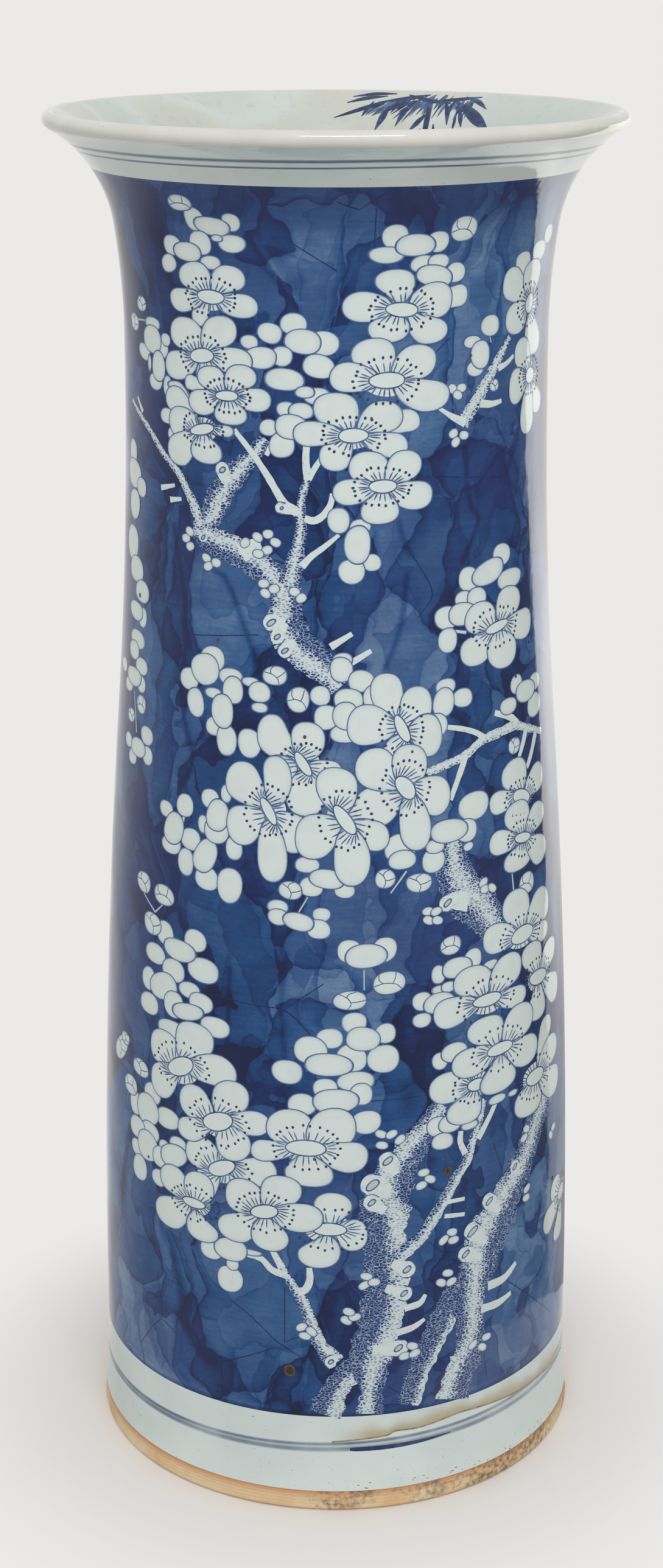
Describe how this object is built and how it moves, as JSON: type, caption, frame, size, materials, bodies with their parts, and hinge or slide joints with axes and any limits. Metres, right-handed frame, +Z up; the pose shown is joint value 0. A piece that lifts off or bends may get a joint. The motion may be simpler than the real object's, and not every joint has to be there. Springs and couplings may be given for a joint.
{
  "type": "vase",
  "caption": "Tall porcelain sleeve vase with a flared mouth and rounded lip, white prunus on a cracked-ice blue ground, ringed white bands and a bare clay foot rim.",
  "frame": {"origin": "middle of the foot rim's underside, where the vase stands", "axes": "+Z up along the axis of turning; the pictured side faces -Y, with +X to the right in the picture"},
  "size_m": [0.2452, 0.2452, 0.6035],
  "materials": {
    "biscuit": "unglazed stoneware-like porcelain biscuit, fired tan, orange at the glaze's edge",
    "porcelain_body": "white porcelain clay under glaze",
    "slip": "fired slip in a luted seam",
    "white_glaze": "clear glossy glaze with a faint green cast",
    "cobalt_line": "underglaze cobalt ring, glossy",
    "cobalt_ground": "underglaze cobalt wash in overlapping panels, glossy",
    "lip_glaze": "clear glossy glaze, thin over the rounded lip",
    "inner_glaze": "clear glossy glaze, a little greyer inside"
  },
  "bodies": {
    "root": {"foot_ring": "biscuit", "base_dish": "biscuit", "lower_wall": "porcelain_body", "upper_wall": "porcelain_body", "flared_mouth": "porcelain_body", "foot_lute": "slip", "waist_lute": "slip", "neck_lute": "slip", "foot_glaze": "white_glaze", "foot_line_thin": "cobalt_line", "foot_line_gap": "white_glaze", "foot_line_thick": "cobalt_line", "foot_band": "white_glaze", "blue_ground": "cobalt_ground", "neck_band": "white_glaze", "neck_line_thin": "cobalt_line", "neck_line_gap": "white_glaze", "neck_line_thick": "cobalt_line", "mouth_glaze": "white_glaze", "lip_glaze": "lip_glaze", "inner_glaze": "inner_glaze", "base_glaze": "white_glaze"}
  },
  "joints": []
}
